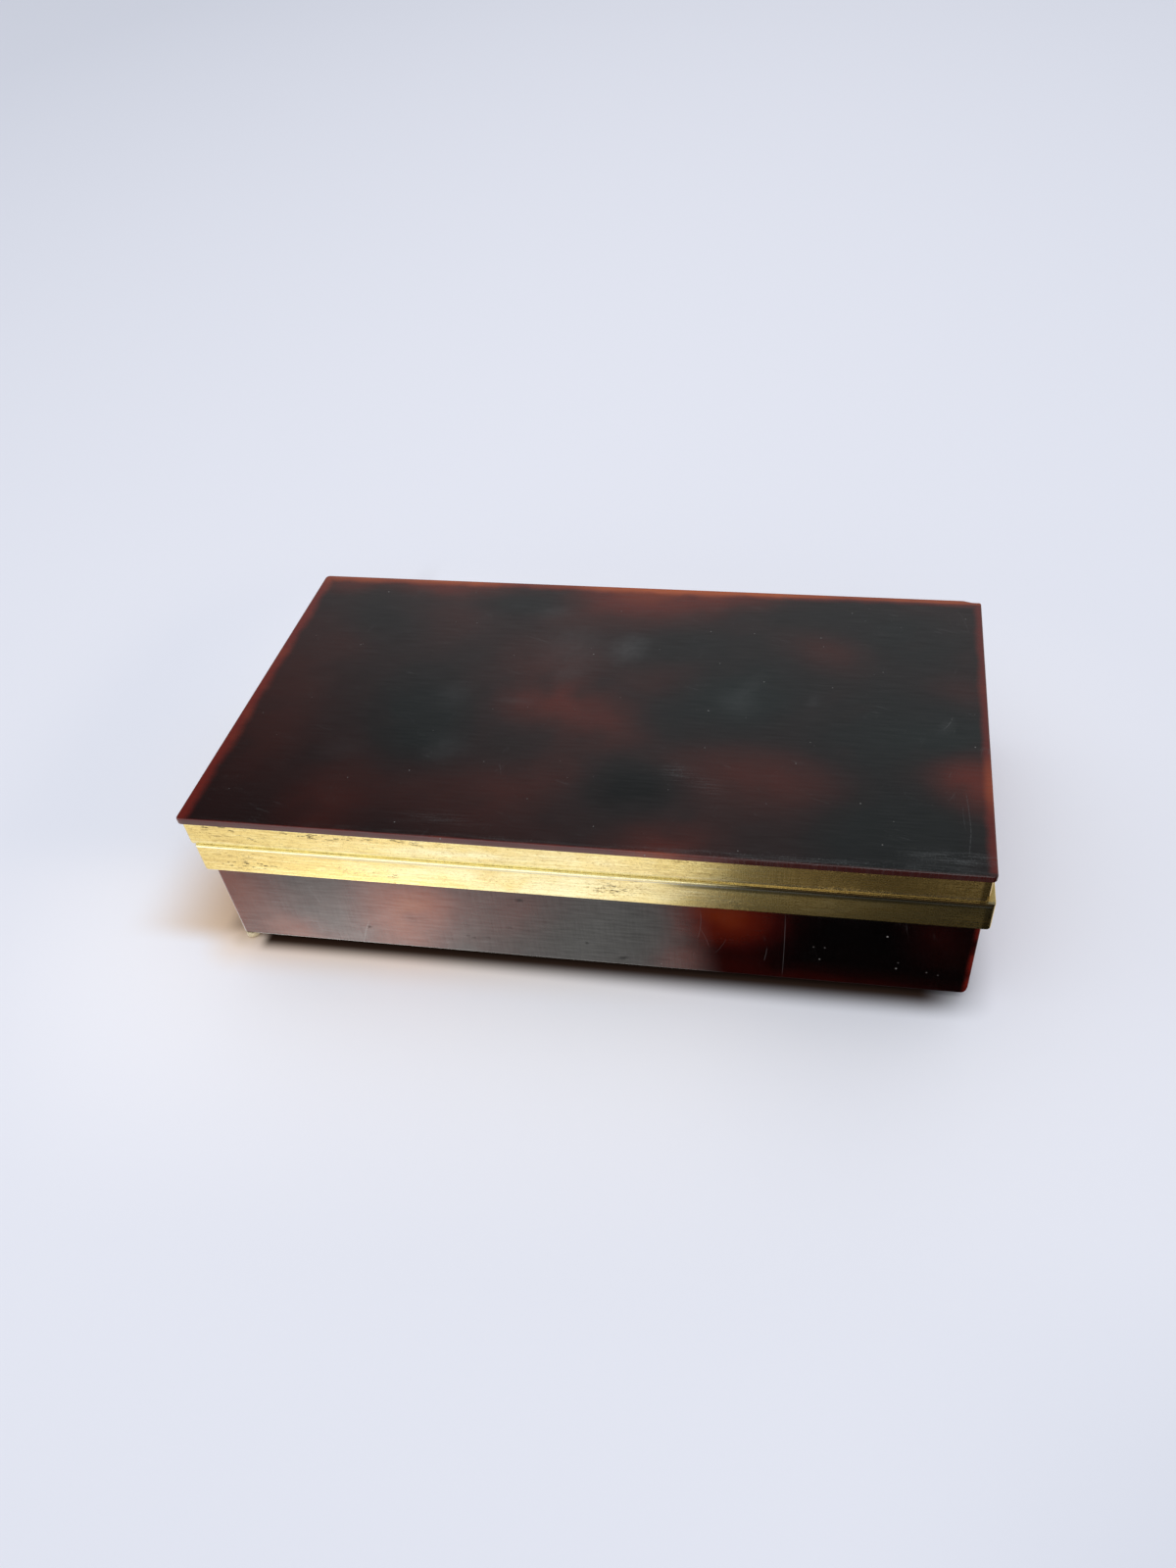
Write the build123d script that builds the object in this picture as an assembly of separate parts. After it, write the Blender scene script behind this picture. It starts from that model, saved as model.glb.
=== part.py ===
from build123d import *
import math
import os

# Vanity box: a tortoiseshell acrylic body and lid plate, each edged with a soldered brass frame,
# joined at the back by a brass piano hinge. All sizes are in millimetres, at full size.
# +X is to the right, +Y to the back and +Z up. The origin is on the table, under the middle of the box.

# Lid plate, a single acrylic sheet
plate_length = 203.0            # left to right
plate_depth = 114.0             # front to back
plate_thickness = 1.7
plate_corner_radius = 1.4       # in plan
plate_top_round = 0.5
plate_under_round = 0.2
plate_overhang = 0.7            # past the lid frame, on every side
ground_corner_depth = 0.8       # the back right corner was ground back by this much
ground_corner_length = 2.6      # from the right edge
ground_corner_run_out = 2.5     # where the back edge returns to its line
ground_corner_radius = 0.7
run_out_radius = 3.0            # at both ends of the run-out

# Brass frames, each of four mitred bars; both are made in the same jig, so their outlines match
frame_bar_width = 7.5
frame_corner_radius = 1.2       # vertical corners
frame_edge_round = 0.3          # along the bars
frame_left_round = 1.5          # along the lower edge at the left end, buffed over further
frame_right_round = 0.6         # the same at the right end
lid_frame_height = 7.4
body_frame_height = 8.5

# Acrylic body, glued from five sheets
wall_drop = 26.8                # the acrylic that shows below the body frame
wall_setback = 1.8              # the frame stands proud of the walls by this much
wall_thickness = 3.0
wall_seat = 4.0                 # how far the walls run up into the rebate under the frame
wall_corner_radius = 1.0        # vertical corners
wall_bottom_round = 0.4         # along the lower edges
wall_left_round = 1.5           # along the lower edge at the left end, buffed over further
wall_right_round = 2.6          # and at the right end, the most worn
floor_thickness = 3.0

# Bumper feet
foot_diameter = 3.8
foot_height = 2.2
foot_bevel = 0.6                # round the lower edge
foot_inset = 7.0                # foot centre from the outer faces of the walls
crept_foot_inset = 1.6          # the front left foot has crept out to its corner

# The hinge leaf was soldered on a little out of true: the closed lid sits left of the body and behind it
lid_left_shift = 1.5
lid_back_shift = 0.9

# Piano hinge
hinge_length = 150.0
knuckle_count = 15              # odd, so that the body's leaf holds both ends of the pin
knuckle_gap = 0.2               # between neighbouring knuckles
leaf_thickness = 0.8
leaf_width = 4.0                # from the hinge axis to the free edge
leaf_face_gap = 0.2             # between the two leaves when the lid is shut
roll_gap = 0.15                 # where the rolled end of a knuckle stops short of its leaf
slot_gap = 0.25                 # round a knuckle where it passes the other leaf
pin_radius = 0.6
pin_clearance = 0.05            # radial, in the knuckles
pin_head_radius = 0.95
pin_head_length = 0.5
pin_head_bevel = 0.3
hinge_inset = 1.8               # hinge axis from the back face of the body frame
barrel_relief = 0.3             # round the barrel, in the bars
leaf_pocket_gap = 0.15          # round the leaf, in its rebate
opening_angle = 100.0           # degrees, where the two stop bevels meet
stop_clearance_angle = 0.2      # degrees on each bevel

# Outlines that follow from these sizes
frame_length = plate_length - 2 * plate_overhang
frame_depth = plate_depth - 2 * plate_overhang
body_length = frame_length - 2 * wall_setback
body_depth = frame_depth - 2 * wall_setback

# Heights
body_base = foot_height
frame_base = body_base + wall_drop
joint_height = frame_base + body_frame_height
plate_base = joint_height + lid_frame_height

# The outermost faces of the closed box, measured from the middle of the body
left_reach = max(plate_length / 2 + lid_left_shift, frame_length / 2)
right_reach = max(plate_length / 2 - lid_left_shift, frame_length / 2)
front_reach = max(plate_depth / 2 - lid_back_shift, frame_depth / 2)
back_reach = max(plate_depth / 2 + lid_back_shift, frame_depth / 2)
body_x = (left_reach - right_reach) / 2
body_y = (front_reach - back_reach) / 2
lid_x = body_x - lid_left_shift
lid_y = body_y + lid_back_shift

# Hinge
barrel_radius = pin_radius + pin_clearance + leaf_thickness
knuckle_pitch = hinge_length / knuckle_count
hinge_y = body_y + frame_depth / 2 - hinge_inset
hinge_z = joint_height
pocket_depth = leaf_face_gap / 2 + leaf_thickness
hinge_line = Plane(origin=(body_x, hinge_y, hinge_z), x_dir=(0, 1, 0), z_dir=(1, 0, 0))


def block(length, depth, height, x, y, base, radius=0.0):
    """A rectangular block standing on the height base, with its vertical corners rounded."""
    outline = RectangleRounded(length, depth, radius) if radius > 0 else Rectangle(length, depth)
    return extrude(Pos(x, y, base) * outline, amount=height)


def edges_at(solid, height):
    """The edges that lie level at one height."""
    return solid.edges().filter_by_position(Axis.Z, height - 0.001, height + 0.001)


def soften(solid, height, radius):
    """Round the level edges at one height."""
    return fillet(edges_at(solid, height), radius)


def front_outline(length, depth, height, x, y, base, left_round, right_round):
    """A block seen from the front, carried from front to back: its two lower corners are rounded."""
    outline = Rectangle(length, height)
    outline = fillet(outline.vertices().group_by(Axis.Y)[0].sort_by(Axis.X)[0], left_round)
    outline = fillet(outline.vertices().group_by(Axis.Y)[0].sort_by(Axis.X)[-1], right_round)
    facing = Plane(origin=(x, y, base + height / 2), x_dir=(1, 0, 0), z_dir=(0, -1, 0))
    return extrude(facing * outline, amount=depth, both=True)


def plate_outline():
    """The plate in plan, with the back right corner ground back and run out to the back edge."""
    right, back = plate_length / 2, plate_depth / 2
    ground_back = back - ground_corner_depth
    step = right - ground_corner_length
    run_out = step - ground_corner_run_out
    points = [(-right, -back), (right, -back), (right, ground_back), (step, ground_back),
              (run_out, back), (-right, back)]
    outline = make_face(Polyline(*points, close=True))

    def rounded(shape, places, radius):
        near = [vertex for vertex in shape.vertices()
                if any(abs(vertex.X - x) + abs(vertex.Y - y) < 0.001 for x, y in places)]
        return fillet(near, radius)

    outline = rounded(outline, [points[0], points[1], points[5]], plate_corner_radius)
    outline = rounded(outline, [points[3], points[4]], run_out_radius)
    return rounded(outline, [points[2]], ground_corner_radius)


def lid_plate():
    """The lid's sheet, with a fuller round on its upper edge than on its lower one."""
    plate = extrude(Pos(lid_x, lid_y, plate_base) * plate_outline(), amount=plate_thickness)
    plate = soften(plate, plate_base + plate_thickness, plate_top_round)
    return soften(plate, plate_base, plate_under_round)


def frame_ring(x, y, base, height, soft_edges):
    """One frame before it is cut into its four bars; soft_edges lists the heights that are rounded."""
    ring = block(frame_length, frame_depth, height, x, y, base, frame_corner_radius)
    for edge_height in soft_edges:
        ring = soften(ring, edge_height, frame_edge_round)
    ring &= front_outline(frame_length, frame_depth, height, x, y, base, frame_left_round, frame_right_round)
    ring -= block(frame_length - 2 * frame_bar_width, frame_depth - 2 * frame_bar_width, height,
                  x, y, base)
    return ring


def along_hinge(outline, length):
    """Carry an outline, drawn across the hinge, along the hinge line by a length about its middle."""
    return extrude(hinge_line * outline, amount=length / 2, both=True)


def stop_groove():
    """The V along the back of the two frames: its faces meet when the lid is fully open."""
    half_angle = math.radians(opening_angle / 2 + stop_clearance_angle)
    depth = frame_bar_width
    rise = depth * math.tan(half_angle)
    v_shape = make_face(Polyline((0, 0), (depth, rise), (depth, -rise), close=True))
    return along_hinge(v_shape, 2 * plate_length)


def barrel_space():
    """The room for the hinge barrel and the pin's heads, in the two back bars."""
    length = hinge_length + 2 * (pin_head_length + barrel_relief)
    return along_hinge(Circle(barrel_radius + barrel_relief), length)


def leaf_space(side):
    """The rebate for one leaf: side is 1 in the lid's frame and -1 in the body's."""
    width = leaf_width + leaf_pocket_gap
    pocket = Pos(-width / 2, side * pocket_depth / 2) * Rectangle(width, pocket_depth)
    return along_hinge(pocket, hinge_length + 2 * leaf_pocket_gap)


def wall_rebate():
    """The rebate under the body frame that the walls run up into."""
    return block(body_length, body_depth, wall_seat, body_x, body_y, frame_base)


def mitred_bars(ring, x, y):
    """Cut a frame along its mitres into its front, back, left and right bars."""
    half_length = frame_length / 2
    half_depth = frame_depth / 2
    inner_length = half_length - half_depth
    bottom = ring.bounding_box().min.Z
    height = ring.bounding_box().size.Z
    outlines = {
        "front": [(-half_length, -half_depth), (half_length, -half_depth), (inner_length, 0),
                  (-inner_length, 0)],
        "back": [(-half_length, half_depth), (half_length, half_depth), (inner_length, 0),
                 (-inner_length, 0)],
        "left": [(-half_length, -half_depth), (-half_length, half_depth), (-inner_length, 0)],
        "right": [(half_length, -half_depth), (half_length, half_depth), (inner_length, 0)],
    }
    bars = {}
    for side, points in outlines.items():
        outline = make_face(Polyline(*points, close=True))
        bars[side] = ring & extrude(Pos(x, y, bottom) * outline, amount=height)
    return bars


def lid_frame():
    """The lid's four bars, with the stop bevel, the barrel space and the leaf's rebate.

    The upper edge stays sharp, under the plate that is glued to it."""
    ring = frame_ring(lid_x, lid_y, joint_height, lid_frame_height, [joint_height])
    ring = ring - stop_groove() - barrel_space() - leaf_space(1)
    return mitred_bars(ring, lid_x, lid_y)


def body_frame():
    """The body's four bars, which also hold the top edges of the walls."""
    ring = frame_ring(body_x, body_y, frame_base, body_frame_height, [frame_base, joint_height])
    ring = ring - stop_groove() - barrel_space() - leaf_space(-1) - wall_rebate()
    return mitred_bars(ring, body_x, body_y)


def body_sheets():
    """The walls and the floor: front and back run full length, the sides stand between them."""
    wall_height = wall_drop + wall_seat
    outside = block(body_length, body_depth, wall_height, body_x, body_y, body_base,
                    wall_corner_radius)
    outside = soften(outside, body_base, wall_bottom_round)
    outside &= front_outline(body_length, body_depth, wall_height, body_x, body_y, body_base,
                             wall_left_round, wall_right_round)
    inner_length = body_length - 2 * wall_thickness
    inner_depth = body_depth - 2 * wall_thickness
    wall_x = (body_length - wall_thickness) / 2
    wall_y = (body_depth - wall_thickness) / 2
    long_slab = (body_length, wall_thickness, wall_height)
    short_slab = (wall_thickness, inner_depth, wall_height)
    return {
        "wall_front": outside & block(*long_slab, body_x, body_y - wall_y, body_base),
        "wall_back": outside & block(*long_slab, body_x, body_y + wall_y, body_base),
        "wall_left": outside & block(*short_slab, body_x - wall_x, body_y, body_base),
        "wall_right": outside & block(*short_slab, body_x + wall_x, body_y, body_base),
        "floor_panel": block(inner_length, inner_depth, floor_thickness, body_x, body_y, body_base),
    }


def knuckle_outline(side):
    """A rolled knuckle and the stub of its leaf, seen along the hinge."""
    leaf_middle = side * (leaf_face_gap + leaf_thickness) / 2
    stub_length = barrel_radius + 2 * slot_gap
    stub = Pos(-stub_length / 2, leaf_middle) * Rectangle(stub_length, leaf_thickness)
    bore = Circle(pin_radius + pin_clearance)
    roll_end = Pos(-barrel_radius / 2, side * (leaf_face_gap - roll_gap) / 2)
    roll_end = roll_end * Rectangle(barrel_radius, roll_gap)
    return Circle(barrel_radius) + stub - bore - roll_end


def hinge_leaf(side):
    """One leaf with its knuckles: side is 1 for the lid's leaf and -1 for the body's."""
    strip_width = leaf_width - barrel_radius - slot_gap
    strip_y = -leaf_width + strip_width / 2
    leaf_middle = side * (leaf_face_gap + leaf_thickness) / 2
    leaf = along_hinge(Pos(strip_y, leaf_middle) * Rectangle(strip_width, leaf_thickness), hinge_length)
    knuckle = along_hinge(knuckle_outline(side), knuckle_pitch - knuckle_gap)
    first = 1 if side == 1 else 0
    for number in range(first, knuckle_count, 2):
        place = (number + 0.5) * knuckle_pitch - hinge_length / 2
        leaf += Pos(place, 0, 0) * knuckle
    return leaf


def hinge_pin():
    """The hinge wire, with both ends peened over against the last knuckles."""
    pin = along_hinge(Circle(pin_radius), hinge_length)
    for end in (-1, 1):
        head = Plane(hinge_line.origin + Vector(end * hinge_length / 2, 0, 0), z_dir=(end, 0, 0))
        rivet = extrude(head * Circle(pin_head_radius), amount=pin_head_length)
        rim = rivet.edges().sort_by(Axis.X)[-1 if end == 1 else 0]
        pin += chamfer(rim, pin_head_bevel)
    return pin


def bumper_foot(x_side, y_side):
    """A turned rubber bumper with a bevelled lower edge, stuck under one corner of the walls."""
    crept = x_side == -1 and y_side == -1
    inset = crept_foot_inset if crept else foot_inset
    x = body_x + x_side * (body_length / 2 - inset)
    y = body_y + y_side * (body_depth / 2 - inset)
    foot = extrude(Pos(x, y, 0) * Circle(foot_diameter / 2), amount=foot_height)
    return chamfer(edges_at(foot, 0), foot_bevel)


def all_nodes():
    nodes = {"lid_plate": lid_plate()}
    for side, bar in lid_frame().items():
        nodes["lid_frame_" + side] = bar
    for side, bar in body_frame().items():
        nodes["body_frame_" + side] = bar
    nodes.update(body_sheets())
    nodes["hinge_leaf_lid"] = hinge_leaf(1)
    nodes["hinge_leaf_body"] = hinge_leaf(-1)
    nodes["hinge_pin"] = hinge_pin()
    for x_name, x_side in (("left", -1), ("right", 1)):
        for y_name, y_side in (("front", -1), ("back", 1)):
            nodes["foot_" + y_name + "_" + x_name] = bumper_foot(x_side, y_side)
    return nodes


os.makedirs("parts", exist_ok=True)
for name, solid in all_nodes().items():
    export_step(solid, "parts/" + name + ".step")

print("lid centre", round(lid_x, 3), round(lid_y, 3), "body centre", round(body_x, 3), round(body_y, 3))
print("hinge axis y", round(hinge_y, 3), "z", round(hinge_z, 3), "plate base", round(plate_base, 3))
print("top of the box", round(plate_base + plate_thickness, 3))
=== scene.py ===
import bpy
import math
import numpy as np
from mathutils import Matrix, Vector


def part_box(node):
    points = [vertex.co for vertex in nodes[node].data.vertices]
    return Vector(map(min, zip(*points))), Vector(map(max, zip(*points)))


# Vanity box in tortoiseshell acrylic with brass frames, a brass piano hinge and rubber bumpers.
# The shapes are the frame's own; patterns are laid out on them in millimetres.

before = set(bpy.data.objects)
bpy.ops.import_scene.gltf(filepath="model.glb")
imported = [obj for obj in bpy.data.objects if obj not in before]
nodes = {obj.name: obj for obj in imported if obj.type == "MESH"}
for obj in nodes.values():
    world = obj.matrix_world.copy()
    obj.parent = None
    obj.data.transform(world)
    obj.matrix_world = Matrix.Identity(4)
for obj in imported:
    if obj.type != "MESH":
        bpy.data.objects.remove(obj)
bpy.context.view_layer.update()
mm = 0.001
sides = ("front", "back", "left", "right")
print("frame loaded,", len(nodes), "nodes")


def around(part):
    # the four nodes of a part that has one on each side
    return [part + "_" + side for side in sides]


def corners(names):
    # lowest and highest corner of several nodes together, in millimetres
    lows, highs = zip(*(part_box(name) for name in names))
    return np.min(lows, axis=0) / mm, np.max(highs, axis=0) / mm


plateLow, plateHigh = corners(["lid_plate"])
lidFrameLow, lidFrameHigh = corners(around("lid_frame"))
bodyFrameLow, bodyFrameHigh = corners(around("body_frame"))
wallsLow, wallsHigh = corners(around("wall"))


class Value:
    # a number, colour or vector on its way through a material; arithmetic on numbers adds Math nodes
    def __init__(self, finish, socket):
        self.finish = finish
        self.socket = socket

    def maths(self, operation, first, second):
        return self.finish.node("ShaderNodeMath", {"operation": operation}, {0: first, 1: second})

    def __add__(self, other):
        return self.maths("ADD", self, other)

    def __sub__(self, other):
        return self.maths("SUBTRACT", self, other)

    def __mul__(self, other):
        return self.maths("MULTIPLY", self, other)

    def __truediv__(self, other):
        return self.maths("DIVIDE", self, other)

    def __pow__(self, other):
        return self.maths("POWER", self, other)

    def __abs__(self):
        return self.maths("ABSOLUTE", self, 0.0)

    def __radd__(self, other):
        return self.maths("ADD", other, self)

    def __rsub__(self, other):
        return self.maths("SUBTRACT", other, self)

    def __rmul__(self, other):
        return self.maths("MULTIPLY", other, self)

    def __rtruediv__(self, other):
        return self.maths("DIVIDE", other, self)

    def __rpow__(self, other):
        return self.maths("POWER", other, self)

    def least(self, other):
        return self.maths("MINIMUM", self, other)

    def most(self, other):
        return self.maths("MAXIMUM", self, other)

    def held(self):
        # kept between 0 and 1
        return self.most(0.0).least(1.0)

    def rise(self, start, end):
        # 0 at start and 1 at end, eased between; start may be the larger
        low, high = (0.0, 1.0) if start < end else (1.0, 0.0)
        return self.finish.node(
            "ShaderNodeMapRange", {"interpolation_type": "SMOOTHSTEP"},
            {"Value": self, "From Min": min(start, end), "From Max": max(start, end),
             "To Min": low, "To Max": high})


class Finish:
    # one material, or the world, while it is being wired
    def __init__(self, name, tree=None):
        if tree is None:
            self.material = bpy.data.materials.new(name)
            self.material.use_nodes = True
            tree = self.material.node_tree
        self.tree = tree
        self.tree.nodes.clear()

    def node(self, kind, settings=None, sockets=None, out=0):
        # settings come before sockets, because some of them change the sockets; out is the output taken
        made = self.tree.nodes.new(kind)
        for name, value in (settings or {}).items():
            if name == "stops":
                self.setStops(made.color_ramp.elements, value)
            else:
                setattr(made, name, value)
        for name, value in (sockets or {}).items():
            if isinstance(value, Value):
                self.tree.links.new(value.socket, made.inputs[name])
            else:
                made.inputs[name].default_value = value
        return Value(self, made.outputs[out]) if made.outputs else None

    def setStops(self, elements, stops):
        elements.remove(elements[-1])
        elements[0].position = stops[0][0]
        elements[0].color = (*stops[0][1], 1.0)
        for place, colour in stops[1:]:
            elements.new(place).color = (*colour, 1.0)

    def point(self):
        # the place on the object, in millimetres
        place = self.node("ShaderNodeTexCoord", out="Object")
        return self.node("ShaderNodeVectorMath", {"operation": "SCALE"}, {0: place, "Scale": 1 / mm})

    def split(self, vector):
        first = self.node("ShaderNodeSeparateXYZ", {}, {0: vector})
        return [Value(self, output) for output in first.socket.node.outputs]

    def joined(self, x, y, z=0.0):
        return self.node("ShaderNodeCombineXYZ", {}, {0: x, 1: y, 2: z})

    def stretched(self, vector, scale, shift=(0.0, 0.0, 0.0), turn=(0.0, 0.0, 0.0)):
        return self.node("ShaderNodeMapping", {"vector_type": "POINT"},
                         {"Vector": vector, "Scale": scale, "Rotation": turn, "Location": shift})

    def noise(self, vector, scale, detail=3.0, roughness=0.5):
        return self.node("ShaderNodeTexNoise", {"noise_dimensions": "3D"},
                         {"Vector": vector, "Scale": scale, "Detail": detail, "Roughness": roughness},
                         "Fac")

    def warped(self, vector, scale, reach):
        # the place pushed about by a soft cloud, by up to half of reach
        cloud = self.node("ShaderNodeTexNoise", {"noise_dimensions": "3D"},
                          {"Vector": vector, "Scale": scale, "Detail": 2.0}, "Color")
        push = self.node("ShaderNodeVectorMath", {"operation": "SUBTRACT"}, {0: cloud, 1: (0.5, 0.5, 0.5)})
        push = self.node("ShaderNodeVectorMath", {"operation": "SCALE"}, {0: push, "Scale": reach})
        return self.node("ShaderNodeVectorMath", {"operation": "ADD"}, {0: vector, 1: push})

    def spots(self, flat, places):
        # soft ellipses added up: middle u, v, half lengths, turn in degrees, strength
        soft = 1.55      # where a spot ends, in its half lengths
        total = None
        for u, v, along, across, turn, strength in places:
            inside = self.node("ShaderNodeMapping", {"vector_type": "TEXTURE"},
                               {"Vector": flat, "Location": (u, v, 0.0),
                                "Rotation": (0.0, 0.0, math.radians(turn)), "Scale": (along, across, 1.0)})
            away = self.node("ShaderNodeVectorMath", {"operation": "LENGTH"}, {0: inside}, "Value")
            spot = away.rise(soft, 0.0) * strength
            total = spot if total is None else total + spot
        return total

    def scratches(self, u, v, marks):
        # bent lines: foot u, v, rise in v, lean in u over it, bow in the middle, half width, strength
        footFade, tipFade = (-0.05, 0.15), (1.05, 0.8)      # shares of the length
        total = None
        for footU, footV, length, lean, bow, width, strength in marks:
            along = (v - footV) / length
            line = abs(u - footU - along * lean - along * (1 - along) * (4 * bow)).rise(width, 0.0)
            line = line * along.rise(*footFade) * along.rise(*tipFade) * strength
            total = line if total is None else total.most(line)
        return total

    def hairs(self, flat, shift, turn, along, across, rarity, width):
        # fine stray scratches: where a stretched cloud passes through its middle value
        patchScale, patchEdge = 0.09, 0.08
        laid = self.stretched(flat, (1, 1, 1), (*shift, 0), (0, 0, turn))
        cloud = self.noise(self.stretched(laid, (along, across, across)), 1.0, 1.0)
        seldom = self.noise(laid, patchScale, 2.0)
        return abs(cloud - 0.5).rise(width, 0.0) * seldom.rise(rarity, rarity + patchEdge)

    def dust(self, vector, layers):
        # dots at some of the cells' own points: spacing, share of the cells, seed, radius
        total = None
        for cell, share, seed, radius in layers:
            shifted = self.stretched(vector, (1 / cell,) * 3, (seed, seed * 0.7, seed * 0.3))
            near = self.node("ShaderNodeTexVoronoi", {}, {"Vector": shifted, "Scale": 1.0}, "Distance")
            pick, bright = self.split(Value(self, near.socket.node.outputs["Color"]))[:2]
            dots = near.rise(radius / cell, radius / cell * 0.3) * pick.rise(1 - share, 1.02 - share)
            dots = dots * bright
            total = dots if total is None else total.most(dots)
        return total

    def colours(self, value, stops):
        return self.node("ShaderNodeValToRGB", {"stops": stops}, {0: value}, "Color")

    def mixed(self, share, first, second):
        rgba = [colour if isinstance(colour, Value) else (*colour, 1.0) for colour in (first, second)]
        return self.node("ShaderNodeMix", {"data_type": "RGBA", "clamp_factor": True},
                         {0: share, 6: rgba[0], 7: rgba[1]}, 2)

    def bump(self, height, depth):
        # height from 0 to 1, depth in millimetres
        return self.node("ShaderNodeBump", {},
                         {"Height": height, "Strength": 1.0, "Distance": depth * mm}, "Normal")

    def surface(self, sockets):
        shader = self.node("ShaderNodeBsdfPrincipled", {}, sockets)
        self.node("ShaderNodeOutputMaterial", {}, {0: shader})
        return self.material


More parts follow.
